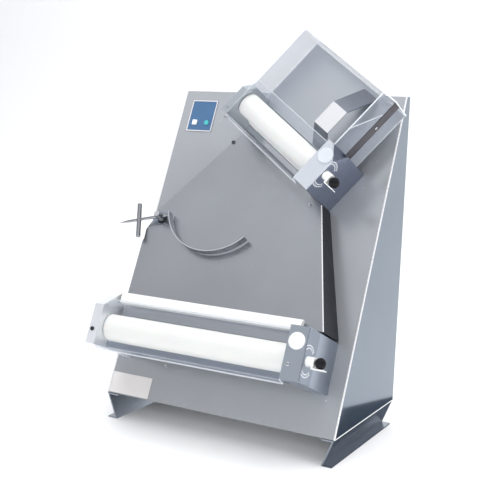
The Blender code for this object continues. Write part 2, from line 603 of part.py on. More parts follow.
def build_drive(lower_sprocket_u, upper_sprocket_u):
    axis = (MOTOR_Y, MOTOR_Z)
    motor = [(0, 0.150), (0.030, 0.150), (0.052, 0.142), (0.052, 0.004), (0.048, 0), (0, 0)]
    gear_motor = turned("gear_motor", motor, MACHINE, CAST_IRON, (-0.195, *axis), ALONG_X, segments=28)
    join(gear_motor, box("gearbox", (-0.0470, MOTOR_Y - 0.045, MOTOR_Z - 0.050),
                         (0.0400, MOTOR_Y + 0.045, MOTOR_Z + 0.045), MACHINE))
    bracket_top = MOTOR_Z - 0.050 - GAP
    bracket = [(-0.050, SHEET + GAP), (0.045, SHEET + GAP), (0.045, bracket_top), (-0.050, bracket_top)]
    hollow = [(-0.046, SHEET + GAP + 0.004), (0.041, SHEET + GAP + 0.004), (0.041, bracket_top - 0.004),
              (-0.046, bracket_top - 0.004)]
    plate("motor_bracket", [bracket, hollow], 0.090, MACHINE, STEEL, (0, MOTOR_Y, 0), LENGTHWISE)
    out = rod("drive_shaft", 0.0080, lower_sprocket_u + CHAIN_W + 0.004 - 0.0405, MACHINE, BRIGHT,
              (0.0405, *axis), ALONG_X)
    pulley_x, pulley_r, belt_r = 0.130, 0.020, 0.003
    join(out,
         rod("drive_sprocket", SPROCKET_R - 0.0008, CHAIN_W, MACHINE, None, (lower_sprocket_u, *axis), ALONG_X),
         rod("drive_pulley", pulley_r, 0.010, MACHINE, None, (pulley_x - 0.005, *axis), ALONG_X))
    chain_t = 0.004
    rear = machine_point(*LOWER_UNIT.rear)
    plate("lower_chain", ring_loops(rear, axis, SPROCKET_R, chain_t), CHAIN_W - 0.001, MACHINE, BRIGHT,
          (lower_sprocket_u + CHAIN_W / 2, 0, 0), SECTION)

    lay = (UPPER_UNIT.rear.x - 0.004, -0.050)
    lay_start, lay_pulley = -0.2600, -0.2300
    shaft = rod("upper_layshaft", SHAFT_R, upper_sprocket_u + CHAIN_W + 0.002 - lay_start, UPPER, BRIGHT,
                (lay_start, *lay), ALONG_X)
    join(shaft,
         rod("layshaft_sprocket", SPROCKET_R - 0.0008, CHAIN_W, UPPER, None, (upper_sprocket_u, *lay), ALONG_X),
         rod("layshaft_pulley", pulley_r, 0.010, UPPER, None, (lay_pulley - 0.005, *lay), ALONG_X))
    plate("upper_chain", ring_loops(tuple(UPPER_UNIT.rear), lay, SPROCKET_R, chain_t), CHAIN_W - 0.001,
          UPPER, BRIGHT, (upper_sprocket_u + CHAIN_W / 2, 0, 0), SECTION)

    x, s = upper_point(lay_pulley, lay[0])
    high = Vector((x, *machine_point(s, lay[1])))
    low = Vector((pulley_x, *axis))
    high_axis = Vector((cos(UPPER_TURN), *machine_point(-sin(UPPER_TURN), 0)))
    low_axis = Vector((1, 0, 0))
    belt_path = []
    for centre, other, spin, way in ((low, high, low_axis, 1), (high, low, high_axis, -1)):
        away = (centre - other).normalized()
        away = (away - spin * away.dot(spin)).normalized()
        across = spin.cross(away) * way
        for i in range(13):
            angle = -pi / 2 + pi * i / 12
            belt_path.append(centre + (away * cos(angle) + across * sin(angle) * way) * (pulley_r + belt_r + 0.0008))
    tube("upper_belt", belt_path, belt_r, MACHINE, RUBBER, cyclic=True)

    inlet = box("power_inlet", (-0.215, BASE_D + GAP, 0.045), (-0.165, BASE_D + 0.008, 0.075),
                MACHINE, BLACK_PLASTIC)
    combine(inlet, box("inlet_recess", (-0.206, BASE_D + 0.002, 0.051), (-0.174, BASE_D + 0.02, 0.069), MACHINE))


def build_infeed_bar():
    """White bar that keeps the dough on the slide as it enters the lower rollers."""
    unit = LOWER_UNIT
    low_s, high_s, back_n, r = 0.171, 0.1955, 0.0865, 0.0115
    section = [(low_s, back_n), (high_s - 0.003, back_n)] \
        + arc((high_s - r, back_n), r, 0.25, pi / 2, 8) + [(low_s + 0.002, back_n + r)]
    start, end = unit.inner_left + 0.006, unit.inner_right - GAP
    plate("infeed_bar", [section], end - start, PANEL, WHITE_PE, ((start + end) / 2, 0, 0), SECTION)


def centre_on_floor():
    """Moves the machine so that the middle of its box stands on the origin."""
    bpy.context.view_layer.update()
    depsgraph = bpy.context.evaluated_depsgraph_get()
    corners = []
    for piece in PARTS.objects:
        if piece.type == "MESH":
            solid = piece.evaluated_get(depsgraph)
            corners += [solid.matrix_world @ vertex.co for vertex in solid.data.vertices]
    for axis in (0, 1):
        values = [corner[axis] for corner in corners]
        MACHINE.location[axis] -= (min(values) + max(values)) / 2


front_panel = build_body()
build_feet()
build_controls(front_panel)
build_slide()
sprockets = [build_unit(unit) for unit in (LOWER_UNIT, UPPER_UNIT)]
build_infeed_bar()
build_hopper()
build_arm()
build_drive(*sprockets)
centre_on_floor()
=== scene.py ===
"""Looks of the dough sheeter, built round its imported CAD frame."""
import bpy
import bmesh
from math import asin, atan2, cos, pi, radians, sin, tan
from mathutils import Matrix, Vector


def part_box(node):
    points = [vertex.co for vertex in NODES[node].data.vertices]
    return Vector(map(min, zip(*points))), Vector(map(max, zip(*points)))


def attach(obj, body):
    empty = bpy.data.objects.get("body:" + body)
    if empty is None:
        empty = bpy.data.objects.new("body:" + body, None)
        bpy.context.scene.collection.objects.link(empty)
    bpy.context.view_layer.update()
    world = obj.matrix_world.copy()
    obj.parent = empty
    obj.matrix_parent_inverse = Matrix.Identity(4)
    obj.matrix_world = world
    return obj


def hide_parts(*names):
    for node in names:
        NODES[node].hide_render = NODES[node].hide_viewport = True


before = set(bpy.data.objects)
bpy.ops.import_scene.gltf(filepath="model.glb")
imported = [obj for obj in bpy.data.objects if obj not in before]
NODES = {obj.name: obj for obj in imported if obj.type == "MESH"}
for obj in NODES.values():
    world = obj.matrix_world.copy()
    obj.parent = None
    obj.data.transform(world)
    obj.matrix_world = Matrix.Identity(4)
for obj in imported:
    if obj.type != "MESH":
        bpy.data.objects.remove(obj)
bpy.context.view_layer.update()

# ---- the machine's own frames ------------------------------------------------------------
LEFT_LOW, LEFT_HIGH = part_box("side_panel_left")
RIGHT_LOW, RIGHT_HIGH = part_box("side_panel_right")
BODY_W = RIGHT_HIGH.x - LEFT_LOW.x
BODY_H = RIGHT_HIGH.z - RIGHT_LOW.z
BODY_D = RIGHT_HIGH.y - RIGHT_LOW.y
TOP_SETBACK = 0.275                 # how far the top front edge stands behind the bottom one
SLOPE = atan2(BODY_H, TOP_SETBACK)
UPPER_TURN = radians(34.8)          # the inclined unit, turned in the plane of the panel
SLIDE_LOW, SLIDE_OUT = 0.178, 0.0804    # the slide's lower edge: up the panel and out of it
SLIDE_TILT = radians(8)

MACHINE = Matrix.Translation(((LEFT_LOW.x + RIGHT_HIGH.x) / 2, RIGHT_LOW.y, RIGHT_LOW.z))
PANEL = MACHINE @ Matrix.Rotation(SLOPE, 4, "X")
UPPER = PANEL @ Matrix.Rotation(-UPPER_TURN, 4, "Z")
SLIDE = PANEL @ Matrix.Translation((0, SLIDE_LOW, SLIDE_OUT)) @ Matrix.Rotation(-SLIDE_TILT, 4, "X")
ALONG_X = Matrix.Rotation(pi / 2, 4, "Y")
# own X, Y, Z become the frame's Y, Z, X
SECTION = Matrix(((0, 0, 1, 0), (1, 0, 0, 0), (0, 1, 0, 0), (0, 0, 0, 1)))


# ---- materials ---------------------------------------------------------------------------
class Shader:
    """A Principled material with helpers for its procedural detail."""

    def __init__(self, name, colour, roughness, metallic=0.0, **sockets):
        self.material = bpy.data.materials.new(name)
        self.material.use_nodes = True
        self.tree = self.material.node_tree
        self.bsdf = self.tree.nodes["Principled BSDF"]
        self.bsdf.inputs["Base Color"].default_value = (*colour, 1)
        self.bsdf.inputs["Roughness"].default_value = roughness
        self.bsdf.inputs["Metallic"].default_value = metallic
        for socket, value in sockets.items():
            self.bsdf.inputs[socket.replace("_", " ")].default_value = value
        self.bumps = None

    def node(self, kind, **values):
        made = self.tree.nodes.new(kind)
        for key, value in values.items():
            if key in made.inputs:
                made.inputs[key].default_value = value
            else:
                setattr(made, key, value)
        return made

    def link(self, source, target):
        self.tree.links.new(source, target)

    def noise(self, scale, detail=3.0, rough=0.5):
        """Noise over the object's own space; scale is one number or a stretch along X, Y, Z."""
        coordinates = self.node("ShaderNodeTexCoord")
        mapping = self.node("ShaderNodeMapping")
        mapping.inputs["Scale"].default_value = scale if isinstance(scale, tuple) else (scale,) * 3
        texture = self.node("ShaderNodeTexNoise")
        texture.inputs["Scale"].default_value = 1.0
        texture.inputs["Detail"].default_value = detail
        texture.inputs["Roughness"].default_value = rough
        self.link(coordinates.outputs["Object"], mapping.inputs["Vector"])
        self.link(mapping.outputs["Vector"], texture.inputs["Vector"])
        return texture.outputs["Fac"]

    def spread(self, value, low, high, start=0.3, end=0.7):
        """Maps a noise value to a range."""
        ramp = self.node("ShaderNodeMapRange")
        ramp.inputs["From Min"].default_value = start
        ramp.inputs["From Max"].default_value = end
        ramp.inputs["To Min"].default_value = low
        ramp.inputs["To Max"].default_value = high
        self.link(value, ramp.inputs["Value"])
        return ramp.outputs["Result"]

    def tint(self, value, first, second):
        """Base colour between two tones, by a 0 to 1 value."""
        mix = self.node("ShaderNodeMix", data_type="RGBA")
        mix.inputs[6].default_value = (*first, 1)
        mix.inputs[7].default_value = (*second, 1)
        self.link(value, mix.inputs[0])
        self.link(mix.outputs[2], self.bsdf.inputs["Base Color"])

    def rough(self, value):
        self.link(value, self.bsdf.inputs["Roughness"])

    def bump(self, value, strength, distance):
        bump = self.node("ShaderNodeBump")
        bump.inputs["Strength"].default_value = strength
        bump.inputs["Distance"].default_value = distance
        self.link(value, bump.inputs["Height"])
        if self.bumps is not None:
            self.link(self.bumps, bump.inputs["Normal"])
        self.bumps = bump.outputs["Normal"]
        self.link(self.bumps, self.bsdf.inputs["Normal"])


def scaled(colour, factor):
    return tuple(min(1.0, channel * factor) for channel in colour)


def steel(name, colour, roughness, grain, streak=0.5, smudge=0.04, metallic=1.0):
    """Rolled or brushed sheet: fine streaks one way, broad tone drift and faint handling marks."""
    made = Shader(name, colour, roughness, metallic)
    streaks = made.noise(grain, 2.0, 0.6)
    drift = made.noise(5.0, 2.0)
    marks = made.noise(38.0, 4.0, 0.65)
    made.tint(made.spread(drift, 0, 1), scaled(colour, 0.95), scaled(colour, 1.05))
    total = made.node("ShaderNodeMath", operation="ADD")
    made.link(made.spread(streaks, roughness * (1 - 0.2 * streak), roughness * (1 + 0.2 * streak)),
              total.inputs[0])
    made.link(made.spread(marks, -smudge / 2, smudge, 0.35, 0.8), total.inputs[1])
    made.rough(total.outputs[0])
    made.bump(streaks, 0.05 * streak, 0.0001)
    made.bump(drift, 0.05, 0.002)
    return made.material


def cast_metal(name, colour, roughness, metallic):
    """Cast or thickly painted metal: gritty surface and cloudy tone."""
    made = Shader(name, colour, roughness, metallic)
    grit = made.noise(700.0, 3.0)
    cloud = made.noise(26.0, 4.0)
    made.tint(made.spread(cloud, 0, 1), scaled(colour, 0.8), scaled(colour, 1.15))
    made.rough(made.spread(cloud, roughness - 0.07, roughness + 0.08))
    made.bump(grit, 0.35, 0.0004)
    return made.material


def plastic(name, colour, roughness, grit=0.1, drift=0.04, **sockets):
    """Turned or moulded plastic: slight tone drift and a very fine surface."""
    made = Shader(name, colour, roughness, 0.0, **sockets)
    cloud = made.noise(18.0, 3.0)
    fine = made.noise(900.0, 2.0)
    made.tint(made.spread(cloud, 0, 1), scaled(colour, 1 - drift), scaled(colour, 1 + drift))
    made.rough(made.spread(made.noise(60.0, 4.0), roughness - 0.05, roughness + 0.07))
    made.bump(fine, grit, 0.0002)
    return made.material


def turned_plastic(name, colour, roughness, stretch):
    """Polyethylene turned on a lathe: faint rings round the roller and soft scattering."""
    made = Shader(name, colour, roughness, 0.0, Subsurface_Weight=0.12, Subsurface_Scale=0.004,
                  Specular_IOR_Level=0.45)
    rings = made.noise(stretch, 2.0)
    cloud = made.noise(14.0, 3.0)
    made.tint(made.spread(cloud, 0, 1), scaled(colour, 0.965), colour)
    made.rough(made.spread(rings, roughness - 0.05, roughness + 0.06))
    made.bump(rings, 0.08, 0.0003)
    return made.material


def clear(name, colour, alpha, edge_alpha, roughness=0.06):
    """Polycarbonate sheet: see-through face on, denser and glossier towards its edges."""
    made = Shader(name, colour, roughness, 0.0, IOR=1.58, Coat_Weight=0.5, Coat_Roughness=0.03)
    facing = made.node("ShaderNodeLayerWeight")
    facing.inputs["Blend"].default_value = 0.35
    haze = made.noise(30.0, 4.0, 0.6)
    made.rough(made.spread(haze, roughness - 0.02, roughness + 0.06))
    made.tint(made.spread(haze, 0, 1), scaled(colour, 0.97), scaled(colour, 1.02))
    made.link(made.spread(facing.outputs["Facing"], alpha, edge_alpha, 0.15, 0.95),
              made.bsdf.inputs["Alpha"])
    return made.material


PANEL_STEEL = steel("front_sheet", (0.485, 0.505, 0.53), 0.25, (5, 1300, 1300), streak=0.1,
                    smudge=0.03, metallic=0.62)
SLIDE_STEEL = steel("slide_sheet", (0.45, 0.465, 0.49), 0.30, (1300, 6, 1300), streak=0.2)
# side panels: a darker bluish copy of the front sheet's steel, painted shade on the sides
SIDE_STEEL_PAINTED_SHADE = steel("side_sheet", (0.175, 0.213, 0.255), 0.10, (1300, 1300, 5), smudge=0.02)
FOOT_STEEL = steel("foot_sheet", (0.255, 0.28, 0.32), 0.20, (1300, 5, 1300))
HOPPER_STEEL = steel("hopper_back_sheet", (0.70, 0.73, 0.77), 0.42, (1300, 6, 1300), streak=0.2)
HEAD_STEEL = steel("head_sheet", (0.36, 0.40, 0.47), 0.32, (900, 8, 900), smudge=0.03)
# darker copy of the head sheet for the inclined unit's head: painted shade
SHADED_HEAD_STEEL = steel("sloped_head_sheet", (0.26, 0.29, 0.375), 0.30, (900, 900, 8),
                          smudge=0.03)
# the near-black tone of the hopper's end plate is painted shade
HOPPER_END_PAINTED_SHADE = steel("hopper_end_sheet", (0.085, 0.08, 0.09), 0.35, (900, 900, 8), smudge=0.03)
# darker copy of the bright steel for the arm and its counterweight: painted shade
ARM_STEEL_SHADED = steel("arm_strip", (0.36, 0.37, 0.39), 0.16, (400, 400, 400), streak=0.3)
# lit and shaded copies of one satin plate: their tones differ by how light falls on each face, painted
# light and shade
SHADED_END_FACE_METAL = steel("satin_plate_side", (0.27, 0.305, 0.36), 0.40, (900, 8, 900), smudge=0.03)
PLATE_METAL = steel("satin_plate", (0.60, 0.66, 0.73), 0.34, (900, 8, 900), smudge=0.03)
LIT_UPPER_PLATE = steel("satin_plate_sloped", (0.83, 0.87, 0.93), 0.36, (900, 8, 900), smudge=0.03,
                    metallic=0.85)
LIT_END_PLATE = steel("satin_plate_light", (0.84, 0.86, 0.89), 0.38, (900, 8, 900), smudge=0.03,
                  metallic=0.6)
SHADED_END_PLATE = steel("satin_plate_grey", (0.50, 0.54, 0.58), 0.34, (900, 8, 900), smudge=0.03,
                        metallic=0.8)
# near-white steel for the fold beads: a painted highlight along the sheets' folds and rolled edges
FOLD_HIGHLIGHT_STEEL = steel("sheet_fold", (0.97, 0.97, 0.98), 0.30, (400, 400, 400), streak=0.3,
                   metallic=0.5)
BRIGHT_STEEL = steel("bright_steel", (0.66, 0.67, 0.69), 0.14, (400, 400, 400), streak=0.3)
# slide walls: black-painted supports whose near-black tone is also painted shade for the dark gap under
# the slide's edges
BLACK_WALL_AND_SHADE = cast_metal("dark_painted_wall", (0.009, 0.011, 0.016), 0.6, 0.0)
IRON = cast_metal("motor_casting", (0.13, 0.135, 0.145), 0.55, 0.6)
LEVEL_PE = turned_plastic("white_roller_level", (0.90, 0.90, 0.85), 0.42, (500, 30, 30))
SLOPED_PE = turned_plastic("white_roller_sloped", (0.91, 0.91, 0.87), 0.42, (300, 40, 300))
WHITE_PE = plastic("white_bar", (0.80, 0.805, 0.79), 0.38)
BLACK_PLASTIC = plastic("black_gloss", (0.010, 0.010, 0.012), 0.20, 0.03, 0.1,
                        Specular_IOR_Level=0.14)
BLACK_MATT = plastic("black_moulded", (0.02, 0.02, 0.022), 0.5, 0.3, 0.1)
BLUE = plastic("blue_print", (0.060, 0.137, 0.262), 0.34, 0.05)
TEAL = plastic("teal_cap", (0.07, 0.44, 0.47), 0.32, 0.05)
WHITE_CAP = plastic("white_cap", (0.86, 0.88, 0.90), 0.34, 0.05)
WHITE_FILM = plastic("white_film", (0.66, 0.64, 0.63), 0.45, 0.05)
SIGHT_CAP = plastic("white_disc", (0.72, 0.74, 0.755), 0.40, 0.05)
# darker copy of the white sight cap for the inclined unit: painted shade
SHADED_SIGHT_CAP = plastic("grey_white_disc", (0.54, 0.57, 0.61), 0.40, 0.05)
ENGRAVED = plastic("engraved_line", (0.84, 0.86, 0.89), 0.45, 0.1)
RUBBER = plastic("rubber_cord", (0.025, 0.025, 0.027), 0.65, 0.4, 0.15)
CLEAR = clear("guard_sheet", (0.34, 0.37, 0.44), 0.09, 0.40)
HOPPER_CLEAR = clear("hopper_sheet", (0.47, 0.51, 0.585), 0.34, 0.46)
CLEAR_EDGE = clear("clear_sheet_edge", (0.86, 0.90, 0.94), 0.75, 0.92, 0.16)


def facing_painted_steel(name, across, bright, dark):
    """Polished folded sheet with painted light: base colour bright where it faces the given way,
    painted shade on its wings.
    """
    made = Shader(name, bright, 0.3, 0.75)
    coordinates = made.node("ShaderNodeTexCoord")
    facing = made.node("ShaderNodeVectorMath", operation="DOT_PRODUCT")
    facing.inputs[1].default_value = across
    made.link(coordinates.outputs["Normal"], facing.inputs[0])
    made.tint(made.spread(facing.outputs["Value"], 0, 1, 0.75, 0.97), dark, bright)
    made.rough(made.spread(made.noise((900, 9, 900), 2.0), 0.26, 0.36))
    return made.material


# feed deflector: its front face painted bright, its wings painted dark
DEFLECTOR_PAINTED_LIGHT = facing_painted_steel("deflector_sheet", PANEL.to_3x3() @ Vector((0, 0, 1)), (0.93, 0.93, 0.95),
                         (0.17, 0.19, 0.235))

FINISH = {
    "front_panel": PANEL_STEEL, "top_cap": PANEL_STEEL, "rear_cover": PANEL_STEEL,
    "base_plate": PANEL_STEEL, "dough_slide": SLIDE_STEEL,
    "side_panel_left": SIDE_STEEL_PAINTED_SHADE, "side_panel_right": SIDE_STEEL_PAINTED_SHADE,
    "foot_rail_left": FOOT_STEEL, "foot_rail_right": FOOT_STEEL,
    "slide_wall_left": BLACK_WALL_AND_SHADE, "slide_wall_right": BLACK_WALL_AND_SHADE,
    "gear_motor": IRON, "motor_bracket": HEAD_STEEL, "switch_block": BLACK_MATT,
    "power_inlet": BLACK_MATT, "upper_belt": RUBBER, "lower_chain": IRON, "upper_chain": IRON,
    "drive_shaft": BRIGHT_STEEL, "upper_layshaft": BRIGHT_STEEL,
    "control_label": BLUE, "info_label": WHITE_FILM, "start_button": WHITE_CAP, "stop_button": TEAL,
    "hopper_back_plate": HOPPER_STEEL, "hopper_side_plate": HOPPER_END_PAINTED_SHADE, "feed_deflector": DEFLECTOR_PAINTED_LIGHT,
    "infeed_bar": WHITE_PE, "arm_bracket": HEAD_STEEL, "arm_pivot_pin": BRIGHT_STEEL,
    "dough_arm": ARM_STEEL_SHADED, "arm_counterweight": ARM_STEEL_SHADED,
}
# the upper unit takes shaded copies of the head, end plate and sight cap and a lit copy of the front
# plate, the lower unit a lit copy of the end plate: painted light and shade
for unit, right_head, front_plate, left_head, sight_cap, roller in (
        ("lower", HEAD_STEEL, PLATE_METAL, LIT_END_PLATE, SIGHT_CAP, LEVEL_PE),
        ("upper", SHADED_HEAD_STEEL, LIT_UPPER_PLATE, SHADED_END_PLATE, SHADED_SIGHT_CAP, SLOPED_PE)):
    FINISH.update({
        unit + "_right_head": right_head, unit + "_front_plate": front_plate,
        unit + "_left_head": left_head, unit + "_sight_cap": sight_cap,
        unit + "_rear_roller": roller, unit + "_front_roller": roller,
        unit + "_rear_shaft": BRIGHT_STEEL, unit + "_front_gear": IRON,
        unit + "_front_axle": BRIGHT_STEEL, unit + "_gap_knob": WHITE_PE,
        unit + "_knob_ball": BLACK_PLASTIC, unit + "_scraper": BRIGHT_STEEL,
    })
EDGE_ROUNDING = {
    "front_panel": 0.0006, "top_cap": 0.0006, "rear_cover": 0.0005, "side_panel_left": 0.0007,
    "side_panel_right": 0.0007, "dough_slide": 0.0005, "foot_rail_left": 0.0008,
    "foot_rail_right": 0.0008, "infeed_bar": 0.0012, "hopper_side_plate": 0.0004,
    "feed_deflector": 0.0004, "lower_front_plate": 0.0008, "upper_front_plate": 0.0008,
    "lower_right_head": 0.0008, "upper_right_head": 0.0008, "lower_left_head": 0.0007,
    "upper_left_head": 0.0007, "control_label": 0.0003, "stop_button": 0.0006,
    "start_button": 0.0006, "arm_bracket": 0.0006, "power_inlet": 0.0006,
}


def soften(piece, width, angle=35):
    """Rounds a piece's sharp edges and returns the modifier."""
    bevel = piece.modifiers.new("Soft edges", "BEVEL")
    bevel.width = width
    bevel.segments = 2
    bevel.limit_method = "ANGLE"
    bevel.angle_limit = radians(angle)
    return bevel


for name, node in NODES.items():
    if name in FINISH:
        node.data.materials.clear()
        node.data.materials.append(FINISH[name])
    if name in EDGE_ROUNDING:
        soften(node, EDGE_ROUNDING[name], 40).harden_normals = True


# ---- building pieces ---------------------------------------------------------------------
def add(name, shape, matrix, finishes, body):
    """Bakes a bmesh into the shared frame as a piece that rides on a body."""
    bmesh.ops.transform(shape, matrix=matrix, verts=shape.verts)
    mesh = bpy.data.meshes.new(name)
    shape.to_mesh(mesh)
    shape.free()
    for finish in finishes:
        mesh.materials.append(finish)
    mesh.shade_smooth()
    mesh.set_sharp_from_angle(angle=radians(35))
    piece = bpy.data.objects.new(name, mesh)
    bpy.context.scene.collection.objects.link(piece)
    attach(piece, body)
    return piece


def lathe(profile, segments):
    """Turned shape from (radius, height) pairs that begin and end on the axis."""
    shape = bmesh.new()
    rings = []
    for radius, height in profile:
        if radius == 0:
            rings.append([shape.verts.new((0, 0, height))])
            continue
        angles = [2 * pi * i / segments for i in range(segments)]
        rings.append([shape.verts.new((radius * cos(a), radius * sin(a), height)) for a in angles])
    for low, high in zip(rings, rings[1:]):
        for i in range(segments):
            j = (i + 1) % segments
            corners = [loop[k % len(loop)] for loop, k in ((low, i), (low, j), (high, j), (high, i))]
            shape.faces.new(list(dict.fromkeys(corners)))
    bmesh.ops.recalc_face_normals(shape, faces=shape.faces)
    return shape


def rounded_path(points, radius, steps=5):
    """A polyline whose inner corners are rounded."""
    path = [Vector(points[0])]
    for before, corner, after in zip(points, points[1:], points[2:]):
        corner = Vector(corner)
        back = Vector(before) - corner
        onward = Vector(after) - corner
        turn = back.angle(onward)
        reach = min(radius / tan(turn / 2), back.length * 0.45, onward.length * 0.45)
        first, last = corner + back.normalized() * reach, corner + onward.normalized() * reach
        for i in range(steps + 1):
            t = i / steps
            path.append(first * (1 - t) ** 2 + corner * 2 * t * (1 - t) + last * t ** 2)
    path.append(Vector(points[-1]))
    return path


def sheet_strip(points, thickness, width, radius=0.004):
    """A bent sheet along 2D points, of the given width along Z; cut edges take slot 1."""
    path = rounded_path(points, radius)
    offset = []
    for i, here in enumerate(path):
        run = path[min(i + 1, len(path) - 1)] - path[max(i - 1, 0)]
        run.normalize()
        offset.append(here + Vector((run.y, -run.x)) * thickness)
    shape = bmesh.new()
    columns = []
    for inner, outer in zip(path, offset):
        columns.append([shape.verts.new((p.x, p.y, z)) for p in (inner, outer)
                        for z in (-width / 2, width / 2)])
    for a, b in zip(columns, columns[1:]):
        shape.faces.new((a[0], a[1], b[1], b[0]))
        shape.faces.new((a[2], b[2], b[3], a[3]))
        for low, high in ((0, 2), (1, 3)):
            edge = shape.faces.new((a[low], b[low], b[high], a[high]))
            edge.material_index = 1
    for end in (columns[0], columns[-1]):
        cap = shape.faces.new((end[0], end[1], end[3], end[2]))
        cap.material_index = 1
    bmesh.ops.recalc_face_normals(shape, faces=shape.faces)
    return shape


def slab(outline, low, high):
    """An outline in XY, thick from low to high in Z."""
    shape = bmesh.new()
    bottom = [shape.verts.new((x, y, low)) for x, y in outline]
    top = [shape.verts.new((x, y, high)) for x, y in outline]
    shape.faces.new(bottom[::-1])
    shape.faces.new(top)
    count = len(outline)
    for i in range(count):
        j = (i + 1) % count
        shape.faces.new((bottom[i], bottom[j], top[j], top[i]))
    bmesh.ops.recalc_face_normals(shape, faces=shape.faces)
    return shape


def rounded_rectangle(low, high, radius, steps=5):
    """Outline between two corners, with rounded corners."""
    outline = []
    x0, y0, x1, y1 = low[0] + radius, low[1] + radius, high[0] - radius, high[1] - radius
    for cx, cy, start in ((x1, y1, 0), (x0, y1, 90), (x0, y0, 180), (x1, y0, 270)):
        for i in range(steps + 1):
            angle = radians(start + 90 * i / steps)
            outline.append((cx + radius * cos(angle), cy + radius * sin(angle)))
    return outline


def ring(outer, inner, low, high):
    """A flat frame between two outlines with the same number of points."""
    shape = bmesh.new()
    loops = [[shape.verts.new((x, y, z)) for x, y in outline]
             for outline in (outer, inner) for z in (low, high)]
    count = len(outer)
    for a, b in ((0, 1), (1, 3), (3, 2), (2, 0)):
        for i in range(count):
            j = (i + 1) % count
            shape.faces.new((loops[a][i], loops[a][j], loops[b][j], loops[b][i]))
    bmesh.ops.recalc_face_normals(shape, faces=shape.faces)
    return shape


def arc_band(radius, start, end, width, low, high, steps=18):
    """A flat arc-shaped line."""
    angles = [start + (end - start) * i / steps for i in range(steps + 1)]
    outline = [((radius + width / 2) * cos(a), (radius + width / 2) * sin(a)) for a in angles]
    outline += [((radius - width / 2) * cos(a), (radius - width / 2) * sin(a))
                for a in reversed(angles)]
    return slab(outline, low, high)


def at(base, x, y, z, turn=Matrix.Identity(4)):
    """A place in a frame, turned there if asked."""
    return base @ Matrix.Translation((x, y, z)) @ turn


def on_slide(x, s, out=0.0):
    """A place on the slide, given how far it is up the panel."""
    return at(SLIDE, x, (s - SLIDE_LOW) / cos(SLIDE_TILT), out)


SEAT = -0.0006      # how far a screw's head is let into its sheet
SCREW_HEAD = [(1, 0.25), (0.92, 0.50), (0.62, 0.66), (0.48, 0.66), (0.44, 0.24), (0, 0.20)]


def screw(name, matrix, radius, finish=BRIGHT_STEEL):
    """Button-head screw with a round socket."""
    profile = [(0, SEAT), (radius, SEAT)] + [(r * radius, h * radius) for r, h in SCREW_HEAD]
    return add(name, lathe(profile, 24), matrix, [finish], "body")


def bead(name, base, start, end, radius):
    """Rounded fold or rolled edge of a sheet, between two points of a frame, near-white as a painted
    highlight.
    """
    start, end = Vector(start), Vector(end)
    run = end - start
    turn = run.to_track_quat("Z", "Y").to_matrix().to_4x4()
    rounded = [(0, 0), (radius, 0), (radius, run.length), (0, run.length)]
    return add(name, lathe(rounded, 16), base @ Matrix.Translation(start) @ turn, [FOLD_HIGHLIGHT_STEEL], "body")


# ---- roller units and clear covers --------------------------------------------------------
class Unit:
    """The main places of one roller unit in its own frame, as the CAD has them."""

    def __init__(self, name, base, left, right, bottom, top, depth, left_w, right_w, knob):
        self.name, self.base, self.knob = name, base, knob
        self.left, self.right, self.bottom, self.top, self.depth = left, right, bottom, top, depth
        self.inner_left, self.inner_right = left + left_w, right - right_w
        self.inner_width = self.inner_right - self.inner_left - 2 * GAP
        self.middle = (self.inner_left + self.inner_right) / 2


GAP = 0.0003        # clearance between neighbouring pieces
CLEAR_T = 0.0025    # thickness of the clear sheet
LOWER = Unit("lower", PANEL, left=-0.2386, right=0.2229, bottom=0.0780, top=0.1757, depth=0.1386,
             left_w=0.0203, right_w=0.0368, knob=(0.1180, 0.1220))
TOP = Unit("upper", UPPER, left=-0.3971, right=-0.1261, bottom=0.4370, top=0.5336, depth=0.1218,
           left_w=0.0140, right_w=0.0385, knob=(0.4815, 0.1085))
LOWER_SHOULDER = 0.1570     # where the level guard leaves the vertical


def build_guard(unit, points):
    matrix = unit.base @ Matrix.Translation((unit.middle, 0, 0)) @ SECTION
    guard = add(unit.name + "_clear_guard", sheet_strip(points, CLEAR_T, unit.inner_width, 0.006),
                matrix, [CLEAR, CLEAR_EDGE], "body")
    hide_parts(unit.name + "_guard")


face = LOWER.depth - CLEAR_T
build_guard(LOWER, [(LOWER_SHOULDER + 0.0173, 0.1015), (LOWER_SHOULDER, face), (LOWER.bottom, face),
                    (LOWER.bottom - 0.004, LOWER.depth - 0.022)])
face = TOP.depth - CLEAR_T
build_guard(TOP, [(TOP.top - 0.006, TOP.depth - 0.012), (TOP.top - 0.018, face), (TOP.bottom, face),
                  (TOP.bottom - 0.004, TOP.depth - 0.022)])

HOPPER_BACK, HOPPER_FRONT, HOPPER_TOP = 0.0405, 0.1015, 0.6680
hopper_path = [(TOP.left + CLEAR_T, 0.5150), (TOP.left + CLEAR_T, HOPPER_TOP - CLEAR_T),
               (TOP.right, HOPPER_TOP - CLEAR_T)]
hopper = add("hopper_clear_walls",
             sheet_strip(hopper_path[::-1], CLEAR_T, HOPPER_FRONT - HOPPER_BACK, 0.005),
             at(UPPER, 0, 0, (HOPPER_BACK + HOPPER_FRONT) / 2), [HOPPER_CLEAR, CLEAR_EDGE], "body")
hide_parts("clear_hopper")
divider_x, divider_top = TOP.inner_right + CLEAR_T, HOPPER_TOP - CLEAR_T - GAP
divider = add("hopper_clear_divider",
              sheet_strip([(divider_x, divider_top), (divider_x, TOP.top + GAP)],
                          -CLEAR_T, HOPPER_FRONT - HOPPER_BACK - GAP),
              at(UPPER, 0, 0, (HOPPER_BACK + HOPPER_FRONT + GAP) / 2), [HOPPER_CLEAR, CLEAR_EDGE],
              "body")
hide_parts("hopper_divider")


